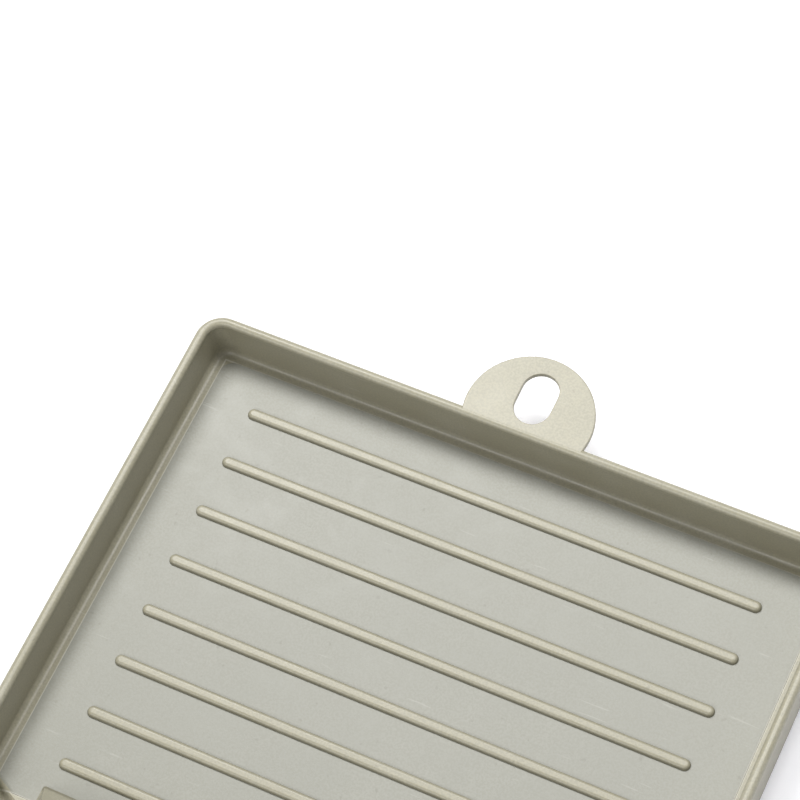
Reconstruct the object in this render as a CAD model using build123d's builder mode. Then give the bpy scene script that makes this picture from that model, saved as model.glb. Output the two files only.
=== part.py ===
"""Ribbed draining tray with a hanging tab, a corner spout and four snap-in rubber feet.

Frame: millimetres, +Z up.  X runs along the ribs and +Y points to the side with the hanging tab.
The origin is on the surface the tray stands on, under the middle of the object's box.
"""
import os
from math import atan2, cos, degrees, radians, sin

from build123d import *

# ---- driving dimensions -------------------------------------------------------------------
rim_length = 241.2  # over the rim bead, along X
rim_width = 187.0  # over the rim bead, along Y
rim_corner = 9.6  # outer corner radius of the rim
rim_height = 25.3  # top of the rim above the table
bead_radius = 1.9

wall_inset = 0.95  # the wall's outer face lies this far inside the bead's outer edge
wall_lean = 0.25  # the inner face leans out this much between floor and bead
bead_overhang = 0.25  # the bead stands this far proud of the wall's inner face
bead_end_proud = 0.25  # the bead's ball ends stand this far into the mouth of the spout
foot_blend = 2.3  # hollow blend between floor and wall

skirt_bottom = 1.0  # lower edge of the wall, held clear of the table by the feet
skirt_inset = 0.75  # the outer face's inset from the bead's outer edge, at the skirt's lower edge
skirt_thickness = 2.4
skirt_edge_round = 0.6

gutter_level = 6.0  # floor level between the ribbed panel and the walls
floor_thickness = 2.2

panel_length = 226.0
panel_width = 171.8
panel_corner = 5.0
panel_step = 0.3  # the ribbed panel stands this far above the gutter
panel_edge_round = 0.2

rib_count = 8
rib_pitch = 20.0
rib_length = 191.8
rib_width = 4.2
rib_height = 1.5
rib_draft = 12.0  # degrees of draft on the flanks
rib_round = 1.35

tab_radius = 22.8
tab_offset = 4.4  # from the rim's outer edge out to the centre of the tab's round
tab_thickness = 2.0
tab_drop = 0.06  # the tab's top face lies this far under the top of the rim
tab_edge_round = 0.4
hole_length = 19.4
hole_width = 13.0
hole_offset = 6.8  # from the centre of the tab's round out to the middle of the hole
hole_edge_round = 0.3

ramp_toe = -79.5  # Y where the sloping near wall rises from the floor
ramp_toe_corner = 6.0
ramp_crest_corner = 2.5
ramp_skin = 2.4  # wall thickness over the hollow under the ramp
ramp_skin_left = -85.0  # X where that hollow ends

mouth_left = -108.5  # X of the gap in the near wall where the spout leaves
mouth_right = -96.5  # the same at floor level on the other side, the ramp's left end
mouth_right_top = -88.5  # the ramp's left end leans back to here at the top
fall_x = -111.0  # a point on the line where the floor starts to fall into the spout
fall_y = -82.3
fall_turn = 27.0  # degrees that the line is turned from X
fall_run = 5.5
fall_left = -113.5  # inside the wall the fall reaches this far to the left
fall_shoulder = -86.5  # Y where its left side turns in towards the mouth
spout_level = 2.3  # top of the spout's floor
lip_reach = 9.0  # the spout's lip stands out this far in front of the near wall
lip_corner = 5.0
cheek_height = 5.0
cheek_thickness = 2.2

foot_spacing_x = 200.0
foot_spacing_y = 130.0
foot_head_radius = 8.0
foot_head_height = 1.5
foot_edge_round = 0.5
stem_radius = 3.5
stem_top = 4.3
barb_radius = 4.1
barb_bottom = 3.1
barb_top = 3.8
boss_radius = 9.5
clear = 12.0  # how far cutting solids run past the surfaces they cut

# ---- values worked out from them ----------------------------------------------------------
tab_reach = tab_offset + tab_radius
centre_y = (lip_reach - tab_reach) / 2  # middle of the tray in the object's own frame
bead_level = rim_height - bead_radius
panel_top = gutter_level + panel_step
underside = gutter_level - floor_thickness
wall_rise = bead_level - gutter_level
wall_draft = degrees(atan2(wall_inset - skirt_inset, bead_level - skirt_bottom))

wall_top_x = rim_length / 2 - 2 * bead_radius + bead_overhang  # inner wall face at the bead
wall_top_y = rim_width / 2 - 2 * bead_radius + bead_overhang
wall_foot_x = wall_top_x - wall_lean  # the same at floor level
wall_foot_y = wall_top_y - wall_lean
wall_top_corner = rim_corner - 2 * bead_radius + bead_overhang
wall_foot_corner = wall_top_corner - wall_lean
bead_x = rim_length / 2 - bead_radius
bead_y = rim_width / 2 - bead_radius
bead_start = mouth_right_top + bead_radius - bead_end_proud
bead_end = mouth_left - bead_radius + bead_end_proud
skirt_x = rim_length / 2 - skirt_inset
skirt_y = rim_width / 2 - skirt_inset
skirt_corner = rim_corner - skirt_inset


def tray_plane(level):
    """The horizontal plane at a level, centred on the tray."""
    return Plane((0, centre_y, level))


# ---- rubber feet --------------------------------------------------------------------------
# A mushroom of soft rubber: a round head under the tray, and a stem with a barb that snaps
# into the boss moulded under each corner of the floor.
with BuildSketch(Plane.XZ) as foot_section:
    with BuildLine():
        Polyline(
            (0, 0),
            (foot_head_radius, 0),
            (foot_head_radius, foot_head_height),
            (stem_radius, foot_head_height),
            (stem_radius, barb_bottom),
            (barb_radius, barb_bottom),
            (stem_radius, barb_top),
            (stem_radius, stem_top),
            (0, stem_top),
            close=True,
        )
    make_face()

foot_places = {
    "foot_near_left": (-foot_spacing_x / 2, centre_y - foot_spacing_y / 2),
    "foot_near_right": (foot_spacing_x / 2, centre_y - foot_spacing_y / 2),
    "foot_far_left": (-foot_spacing_x / 2, centre_y + foot_spacing_y / 2),
    "foot_far_right": (foot_spacing_x / 2, centre_y + foot_spacing_y / 2),
}

with BuildPart() as foot_blank:
    add(foot_section.sketch)
    revolve(axis=Axis.Z)

feet = {}
for foot_name, place in foot_places.items():
    with BuildPart() as foot:
        with Locations((*place, 0)):
            add(foot_blank.part)
        fillet(foot.edges().group_by(Axis.Z)[0], radius=foot_edge_round)
    foot.part.label = foot_name
    feet[foot_name] = foot.part


# ---- the tray's hollow --------------------------------------------------------------------
# The space that is taken out of the outer block.  Its outline runs inside the walls, goes out
# through the spout's mouth and comes back round the left end of the sloping near wall.
def hollow_outline(level, side_x, side_y, near_y, ramp_left, corner, ramp_corner):
    """The hollow's outline at one level, as a face with rounded corners."""
    outside = -rim_width / 2 - 1
    with BuildSketch(tray_plane(level)) as outline:
        with BuildLine():
            Polyline(
                (-side_x, side_y),
                (-side_x, -side_y),
                (mouth_left, -side_y),
                (mouth_left, outside),
                (ramp_left, outside),
                (ramp_left, near_y),
                (side_x, near_y),
                (side_x, side_y),
                close=True,
            )
        make_face()
        corners = outline.vertices()
        wall_corners = corners.filter_by(lambda v: abs(abs(v.X) - side_x) < 0.01)
        ramp_end = corners.filter_by(lambda v: abs(v.X - ramp_left) < 0.01 and v.Y > outside + 0.5)
        fillet(wall_corners, radius=corner)
        fillet(ramp_end, radius=ramp_corner)
    return outline.sketch


with BuildPart() as hollow:
    add(
        hollow_outline(
            level=gutter_level,
            side_x=wall_foot_x,
            side_y=wall_foot_y,
            near_y=ramp_toe,
            ramp_left=mouth_right,
            corner=wall_foot_corner,
            ramp_corner=ramp_toe_corner,
        )
    )
    add(
        hollow_outline(
            level=bead_level,
            side_x=wall_top_x,
            side_y=wall_top_y,
            near_y=-wall_top_y,
            ramp_left=mouth_right_top,
            corner=wall_top_corner,
            ramp_corner=ramp_crest_corner,
        )
    )
    loft(ruled=True)
    fillet(hollow.edges().group_by(Axis.Z)[0], radius=foot_blend)


# ---- the chute that cuts the spout's floor ------------------------------------------------
# The floor falls over a slanted line in a smooth S down to the spout's level.
turn = radians(fall_turn)
fall_plane = Plane(
    origin=(fall_x, centre_y + fall_y, 0),
    x_dir=(-sin(turn), -cos(turn), 0),
    z_dir=(-cos(turn), sin(turn), 0),
)
with BuildPart() as chute:
    with BuildSketch(fall_plane):
        with BuildLine():
            Spline((0, panel_top), (fall_run, spout_level), tangents=((1, 0), (1, 0)))
            Polyline(
                (fall_run, spout_level),
                (fall_run + 2 * clear, spout_level),
                (fall_run + 2 * clear, panel_top + clear),
                (0, panel_top + clear),
                (0, panel_top),
            )
        make_face()
    extrude(amount=2 * clear, both=True)
    with BuildSketch(tray_plane(0)):
        Polygon(
            (mouth_right, fall_y + clear),
            (fall_left, fall_y + clear),
            (fall_left, fall_shoulder),
            (mouth_left, -wall_foot_y),
            (mouth_left, fall_y - 3 * clear),
            (mouth_right, fall_y - 3 * clear),
            align=None,
        )
    extrude(amount=rim_height, mode=Mode.INTERSECT)


# ---- the ribbed panel ---------------------------------------------------------------------
# The middle of the floor: a shallow step with draining ribs that have round ends and tops.
with BuildPart() as panel:
    with BuildSketch(tray_plane(underside)):
        RectangleRounded(panel_length, panel_width, panel_corner)
    extrude(amount=panel_top - underside)
    fillet(panel.edges().group_by(Axis.Z)[-1], radius=panel_edge_round)
    with BuildSketch(tray_plane(panel_top)):
        with GridLocations(rim_length, rib_pitch, 1, rib_count):
            SlotOverall(rib_length, rib_width)
    extrude(amount=rib_height, taper=rib_draft)
    fillet(panel.edges().group_by(Axis.Z)[-1], radius=rib_round)


# ---- the hanging tab ----------------------------------------------------------------------
tab_level = rim_height - tab_drop - tab_thickness
with BuildPart() as tab:
    with BuildSketch(tray_plane(tab_level)):
        with Locations((0, rim_width / 2 + tab_offset)):
            Circle(tab_radius)
        with Locations((0, bead_y - tab_radius)):
            Rectangle(2 * tab_radius, 2 * tab_radius, mode=Mode.SUBTRACT)
    extrude(amount=tab_thickness)
    outer_edges = tab.edges().filter_by(GeomType.CIRCLE)
    fillet(outer_edges, radius=tab_edge_round)
    with BuildSketch(tray_plane(tab_level)):
        with Locations((0, rim_width / 2 + tab_offset + hole_offset)):
            SlotOverall(hole_length, hole_width, rotation=90)
    extrude(amount=tab_thickness, mode=Mode.SUBTRACT)
    hole_edges = (tab.edges().group_by(Axis.Z)[0] + tab.edges().group_by(Axis.Z)[-1]).filter_by(
        lambda edge: abs(edge.center().X) < hole_width / 2 + 0.1
        and abs(edge.center().Y - centre_y - rim_width / 2 - tab_offset - hole_offset) < hole_length / 2 + 0.1
    )
    fillet(hole_edges, radius=hole_edge_round)


# ---- the rim bead -------------------------------------------------------------------------
# A round bead along the rim, open at the spout's mouth, with ball ends.
with BuildPart() as bead:
    with BuildLine(tray_plane(bead_level)) as bead_path:
        FilletPolyline(
            (bead_start, -bead_y),
            (bead_x, -bead_y),
            (bead_x, bead_y),
            (-bead_x, bead_y),
            (-bead_x, -bead_y),
            (bead_end, -bead_y),
            radius=rim_corner - bead_radius,
        )
    bead_wire = bead_path.wires()[0]
    with BuildSketch(Plane(bead_wire @ 0, z_dir=bead_wire % 0)):
        Circle(bead_radius)
    sweep(path=bead_wire)
    with Locations(bead_wire @ 0, bead_wire @ 1):
        Sphere(bead_radius)


# ---- the tray -----------------------------------------------------------------------------
with BuildPart() as tray:
    # Outer block, from the skirt's lower edge up to the middle of the bead.
    with BuildSketch(tray_plane(skirt_bottom)):
        RectangleRounded(2 * skirt_x, 2 * skirt_y, skirt_corner)
    extrude(amount=bead_level - skirt_bottom, taper=wall_draft)
    fillet(tray.edges().group_by(Axis.Z)[0], radius=skirt_edge_round)
    add(hollow.part, mode=Mode.SUBTRACT)

    # Underside: a skirt all round, and a hollow under the sloping near wall.
    with BuildSketch(tray_plane(skirt_bottom)):
        RectangleRounded(
            2 * (skirt_x - skirt_thickness),
            2 * (skirt_y - skirt_thickness),
            skirt_corner - skirt_thickness,
        )
    extrude(amount=underside - skirt_bottom, mode=Mode.SUBTRACT)
    ramp_slope = (wall_top_y + ramp_toe) / wall_rise  # run of the sloping wall per unit of rise
    skin_back = -skirt_y + skirt_thickness
    skin_front = ramp_toe - ramp_skin
    with BuildSketch(Plane.YZ.offset(ramp_skin_left)):
        with Locations((centre_y, 0)):
            Polygon(
                (skin_front, skirt_bottom),
                (skin_front, gutter_level - ramp_skin / 2),
                (skin_back, gutter_level - ramp_skin / 2 + (skin_front - skin_back) / ramp_slope),
                (skin_back, skirt_bottom),
                align=None,
            )
    extrude(amount=wall_foot_x - ramp_skin_left, mode=Mode.SUBTRACT)

    # The spout: solid floor under the fall, and a lip with a low cheek on each side.
    with BuildSketch(tray_plane(skirt_bottom)):
        with Locations((fall_left - cheek_thickness, -rim_width / 2 + skirt_thickness)):
            Rectangle(
                mouth_right - fall_left + 2 * cheek_thickness,
                clear,
                align=(Align.MIN, Align.MIN),
            )
    extrude(amount=gutter_level - skirt_bottom)
    lip_front = -rim_width / 2 - lip_reach
    for level, top, lip_back in (
        (skirt_bottom, gutter_level, -rim_width / 2 + clear),
        (gutter_level, gutter_level + cheek_height, -rim_width / 2 + bead_radius),
    ):
        with BuildSketch(tray_plane(level)) as lip:
            with Locations(((mouth_left + mouth_right) / 2, (lip_back + lip_front) / 2)):
                Rectangle(mouth_right - mouth_left + 2 * cheek_thickness, lip_back - lip_front)
            fillet(lip.vertices().group_by(Axis.Y)[0], radius=lip_corner)
        extrude(amount=top - level)

    add(panel.part)
    add(chute.part, mode=Mode.SUBTRACT)

    # Bosses for the feet, with the sockets that the barbs snap into.
    with BuildSketch(tray_plane(foot_head_height)):
        with GridLocations(foot_spacing_x, foot_spacing_y, 2, 2):
            Circle(boss_radius)
    extrude(amount=underside - foot_head_height)
    add(list(feet.values()), mode=Mode.SUBTRACT)

    add(bead.part)
    add(tab.part)

tray.part.label = "tray"

os.makedirs("parts", exist_ok=True)
export_step(tray.part, "parts/tray.step")
for foot_name, foot_part in feet.items():
    export_step(foot_part, f"parts/{foot_name}.step")
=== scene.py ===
"""Looks of the ribbed draining tray: satin moulded plastic and soft rubber feet, in a pale studio."""
import math

import bpy
from mathutils import Matrix, Vector

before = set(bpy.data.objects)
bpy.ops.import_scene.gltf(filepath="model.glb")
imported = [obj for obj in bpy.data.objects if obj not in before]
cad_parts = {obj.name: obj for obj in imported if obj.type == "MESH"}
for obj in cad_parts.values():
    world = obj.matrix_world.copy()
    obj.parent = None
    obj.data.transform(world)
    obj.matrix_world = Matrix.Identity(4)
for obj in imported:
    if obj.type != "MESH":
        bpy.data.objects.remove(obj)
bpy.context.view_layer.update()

MM = 0.001
TRAY_CENTRE = Vector((0, -9.1, 0)) * MM  # middle of the rim, in the CAD frame
PANEL_TOP = 6.3 * MM  # level of the ribbed panel
PANEL_HALF = Vector((113.0, 85.9, 0)) * MM  # half the panel's length and width

FLOOR_HALF = 3.0  # half the side of the tabletop, in metres
WORLD_STRENGTH = 0.15
PLASTIC_IOR = 1.5


# ---- camera -------------------------------------------------------------------------------
def make_camera():
    """A long lens above the near right corner, aimed at the rim to the left of the hanging tab."""
    azimuth, elevation, roll = math.radians(37.17), math.radians(62.06), math.radians(-13.21)
    distance, lens, sensor = 1.0406, 134.94, 36.0  # metres, then millimetres
    aim = TRAY_CENTRE + Vector((-48.9, 94.7, 6.3)) * MM
    back = Vector(
        (
            math.sin(azimuth) * math.cos(elevation),
            -math.cos(azimuth) * math.cos(elevation),
            math.sin(elevation),
        )
    )
    level_right = Vector((math.cos(azimuth), math.sin(azimuth), 0))
    level_up = back.cross(level_right)
    right = level_right * math.cos(roll) + level_up * math.sin(roll)
    up = back.cross(right)
    data = bpy.data.cameras.new("camera")
    data.sensor_width = sensor
    data.lens = lens
    data.clip_start = 0.01
    camera = bpy.data.objects.new("camera", data)
    turn = Matrix((right, up, back)).transposed().to_4x4()
    camera.matrix_world = Matrix.Translation(aim + back * distance) @ turn
    bpy.context.scene.collection.objects.link(camera)
    bpy.context.scene.camera = camera


# ---- studio -------------------------------------------------------------------------------
def make_floor():
    """A large, level tabletop under the feet."""
    data = bpy.data.meshes.new("floor")
    half = FLOOR_HALF
    corners = [(-half, -half, 0), (half, -half, 0), (half, half, 0), (-half, half, 0)]
    data.from_pydata(corners, [], [(0, 1, 2, 3)])
    floor = bpy.data.objects.new("floor", data)
    bpy.context.scene.collection.objects.link(floor)
    data.materials.append(tabletop())


def soft_box(name, place, target, size, power, colour=(1, 1, 1)):
    """A rectangular area light at a place, facing a target."""
    data = bpy.data.lights.new(name, "AREA")
    data.shape = "RECTANGLE"
    data.size, data.size_y = size
    data.energy = power
    data.color = colour
    light = bpy.data.objects.new(name, data)
    light.location = place
    light.rotation_euler = (Vector(place) - Vector(target)).to_track_quat("Z", "Y").to_euler()
    bpy.context.scene.collection.objects.link(light)


def make_studio():
    """Two soft boxes beyond the tray, one in front, a low one at the right, and a dim white world."""
    make_floor()
    centre = (0, 0, 0)
    soft_box("back_left", (-0.58, 0.62, 1.3), centre, (0.6, 0.5), 15)
    soft_box("back_right", (0.22, 0.55, 1.3), centre, (0.6, 0.5), 11)
    soft_box("front", (-0.3, -1.0, 1.0), centre, (0.9, 0.5), 8)
    soft_box("side", (1.6, 0.1, 0.12), (0.12, 0, 0.02), (1.4, 0.22), 0.9, (0.93, 0.96, 1.0))
    world = bpy.data.worlds.new("studio")
    world.use_nodes = True
    background = world.node_tree.nodes["Background"]
    background.inputs["Color"].default_value = (1, 1, 1, 1)
    background.inputs["Strength"].default_value = WORLD_STRENGTH
    bpy.context.scene.world = world
    bpy.context.scene.view_settings.view_transform = "Standard"


# ---- materials ----------------------------------------------------------------------------
class Nodes:
    """A material with short calls for the nodes that these surfaces use."""

    def __init__(self, name):
        self.material = bpy.data.materials.new(name)
        self.material.use_nodes = True
        self.tree = self.material.node_tree
        self.shader = self.tree.nodes["Principled BSDF"]
        self.place = self.new("ShaderNodeTexCoord").outputs["Object"]

    def new(self, kind, **settings):
        """A new node, with its settings."""
        node = self.tree.nodes.new(kind)
        for name, value in settings.items():
            setattr(node, name, value)
        return node

    def plug(self, socket, value):
        """Links an output, or sets a plain value."""
        if isinstance(value, bpy.types.NodeSocket):
            self.tree.links.new(value, socket)
        else:
            socket.default_value = value

    def maths(self, operation, first, second=0.0):
        """One sum on two values; the operations on one value leave out the second."""
        node = self.new("ShaderNodeMath", operation=operation)
        for socket, value in zip(node.inputs, (first, second)):
            self.plug(socket, value)
        return node.outputs[0]

    def distance(self, value, mark):
        """How far a value is from a mark, on either side."""
        return self.maths("ABSOLUTE", self.maths("SUBTRACT", value, mark))

    def ramp(self, value, low, high, to_low=0.0, to_high=1.0):
        """A value taken smoothly from one range to another."""
        node = self.new("ShaderNodeMapRange", interpolation_type="SMOOTHSTEP")
        for name, number in zip(node.inputs.keys()[:5], (value, low, high, to_low, to_high)):
            self.plug(node.inputs[name], number)
        return node.outputs["Result"]

    def noise(self, scale, detail=2.0, roughness=0.5, distortion=0.0, stretch=(1, 1, 1), turn=0.0):
        """Noise in the object's own space, stretched along an axis if asked."""
        mapping = self.new("ShaderNodeMapping")
        mapping.inputs["Scale"].default_value = stretch
        mapping.inputs["Rotation"].default_value = (0, 0, turn)
        self.plug(mapping.inputs["Vector"], self.place)
        node = self.new("ShaderNodeTexNoise")
        self.plug(node.inputs["Vector"], mapping.outputs["Vector"])
        node.inputs["Scale"].default_value = scale
        node.inputs["Detail"].default_value = detail
        node.inputs["Roughness"].default_value = roughness
        node.inputs["Distortion"].default_value = distortion
        return node.outputs["Fac"]

    def mix(self, amount, first, second):
        """A colour between two colours."""
        node = self.new("ShaderNodeMix", data_type="RGBA")
        self.plug(node.inputs["Factor"], amount)
        self.plug(node.inputs[6], first)
        self.plug(node.inputs[7], second)
        return node.outputs[2]

    def mix_value(self, amount, first, second):
        """A number between two numbers."""
        node = self.new("ShaderNodeMix", data_type="FLOAT")
        self.plug(node.inputs[0], amount)
        self.plug(node.inputs[2], first)
        self.plug(node.inputs[3], second)
        return node.outputs[0]

    def bump(self, height, strength, distance, normal=None):
        """A normal that a height tilts, over another normal if one is given."""
        node = self.new("ShaderNodeBump")
        node.inputs["Strength"].default_value = strength
        node.inputs["Distance"].default_value = distance
        self.plug(node.inputs["Height"], height)
        if normal is not None:
            self.plug(node.inputs["Normal"], normal)
        return node.outputs["Normal"]


def tabletop():
    """Matt white board with a faint unevenness."""
    nodes = Nodes("tabletop")
    mottle = nodes.noise(6.0, detail=3.0)
    tone = nodes.mix(mottle, (0.935, 0.935, 0.950, 1), (0.950, 0.950, 0.965, 1))
    nodes.plug(nodes.shader.inputs["Base Color"], tone)
    nodes.plug(nodes.shader.inputs["Roughness"], nodes.ramp(mottle, 0.3, 0.7, 0.85, 0.95))
    nodes.shader.inputs["Emission Color"].default_value = (0.88, 0.88, 1.0, 1)
    nodes.shader.inputs["Emission Strength"].default_value = 0.19
    return nodes.material


def panel_masks(nodes):
    """The frosted top of the ribbed panel, painted shade low on the ribs, and a painted highlight
    along the panel's edge.
    """
    axes = nodes.new("ShaderNodeSeparateXYZ")
    nodes.plug(axes.inputs[0], nodes.place)
    past_x = nodes.maths("SUBTRACT", nodes.distance(axes.outputs[0], TRAY_CENTRE.x), PANEL_HALF.x)
    past_y = nodes.maths("SUBTRACT", nodes.distance(axes.outputs[1], TRAY_CENTRE.y), PANEL_HALF.y)
    past = nodes.maths("MAXIMUM", past_x, past_y)  # how far outside the panel's edge
    height = nodes.maths("SUBTRACT", axes.outputs[2], PANEL_TOP)

    inside = nodes.ramp(past, -0.3 * MM, 0.0, 1.0, 0.0)
    level = nodes.ramp(nodes.maths("ABSOLUTE", height), 0.05 * MM, 0.15 * MM, 1.0, 0.0)
    frosted = nodes.maths("MULTIPLY", inside, level)

    # painted shade: the ribs are darkened from their foot up, standing in for the shade low on each
    # rib
    above = nodes.ramp(height, 0.02 * MM, 0.10 * MM)
    well_inside = nodes.ramp(past, -5.0 * MM, -4.0 * MM, 1.0, 0.0)
    low_on_rib = nodes.ramp(height, 0.3 * MM, 1.8 * MM, 1.0, 0.0)
    on_rib = nodes.maths("MULTIPLY", above, well_inside)
    rib_foot_painted_shade = nodes.maths("MULTIPLY", on_rib, low_on_rib)

    # painted highlight: a pale line along the panel's edge, standing in for light caught by its small
    # bevel
    near_edge = nodes.ramp(nodes.maths("ABSOLUTE", past), 0.1 * MM, 0.4 * MM, 1.0, 0.0)
    not_above = nodes.ramp(height, 0.02 * MM, 0.10 * MM, 1.0, 0.0)
    panel_edge_painted_highlight = nodes.maths("MULTIPLY", near_edge, not_above)
    return frosted, rib_foot_painted_shade, panel_edge_painted_highlight


def tray_plastic():
    """Sage-grey plastic: smooth satin on the rim, ribs and gutter, a frosted face on the panel."""
    nodes = Nodes("tray_plastic")
    shader = nodes.shader
    frosted, rib_foot_painted_shade, panel_edge_painted_highlight = panel_masks(nodes)

    broad = nodes.noise(14.0, detail=3.0, roughness=0.55)
    clouds = nodes.noise(70.0, detail=4.0, roughness=0.6, distortion=0.4)
    grain = nodes.noise(2600.0, detail=2.0, roughness=0.6)
    grit = nodes.noise(1300.0, detail=1.0)
    speck = nodes.noise(420.0, detail=1.0)
    scratch = nodes.noise(700.0, detail=1.0, distortion=0.3, stretch=(0.08, 1, 1), turn=0.9)

    smooth_tone = nodes.mix(broad, (0.342, 0.319, 0.229, 1), (0.383, 0.359, 0.263, 1))
    frost_tone = nodes.mix(broad, (0.262, 0.262, 0.222, 1), (0.300, 0.298, 0.256, 1))
    tone = nodes.mix(frosted, smooth_tone, frost_tone)
    marks = (
        (nodes.ramp(clouds, 0.35, 0.75, 0.0, 0.12), (0.62, 0.61, 0.56, 1)),  # pale bloom
        (nodes.ramp(grit, 0.35, 0.65, 0.0, 0.34), (0.24, 0.235, 0.19, 1)),  # fine grain
        (nodes.ramp(speck, 0.72, 0.80, 0.0, 0.25), (0.16, 0.15, 0.12, 1)),  # dark specks
        (nodes.ramp(scratch, 0.74, 0.80, 0.0, 0.16), (0.60, 0.59, 0.54, 1)),  # pale scratches
        # painted shade low on the ribs
        (nodes.maths("MULTIPLY", rib_foot_painted_shade, 0.55), (0.10, 0.092, 0.060, 1)),
        # painted highlight along the panel's edge
        (nodes.maths("MULTIPLY", panel_edge_painted_highlight, 0.45), (0.70, 0.69, 0.64, 1)),
    )
    for amount, colour in marks:
        tone = nodes.mix(amount, tone, colour)
    nodes.plug(shader.inputs["Base Color"], tone)

    satin = nodes.ramp(clouds, 0.3, 0.7, 0.33, 0.41)
    frost = nodes.ramp(clouds, 0.3, 0.7, 0.39, 0.48)
    nodes.plug(shader.inputs["Roughness"], nodes.mix_value(frosted, satin, frost))

    fine = nodes.bump(grain, 0.45, 0.06 * MM)
    nodes.plug(shader.inputs["Normal"], nodes.bump(clouds, 0.05, 0.4 * MM, fine))
    shader.inputs["IOR"].default_value = PLASTIC_IOR
    return nodes.material


def foot_rubber():
    """Soft grey-green rubber with a fine powdery grain."""
    nodes = Nodes("foot_rubber")
    grain = nodes.noise(1500.0, detail=3.0, roughness=0.6)
    patches = nodes.noise(120.0, detail=3.0)
    tone = nodes.mix(patches, (0.30, 0.30, 0.26, 1), (0.36, 0.36, 0.32, 1))
    nodes.plug(nodes.shader.inputs["Base Color"], tone)
    nodes.plug(nodes.shader.inputs["Roughness"], nodes.ramp(patches, 0.3, 0.7, 0.70, 0.82))
    nodes.plug(nodes.shader.inputs["Normal"], nodes.bump(grain, 0.25, 0.1 * MM))
    return nodes.material


make_camera()
make_studio()
plastic, rubber = tray_plastic(), foot_rubber()
for name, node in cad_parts.items():
    node.data.materials.clear()
    node.data.materials.append(rubber if name.startswith("foot") else plastic)
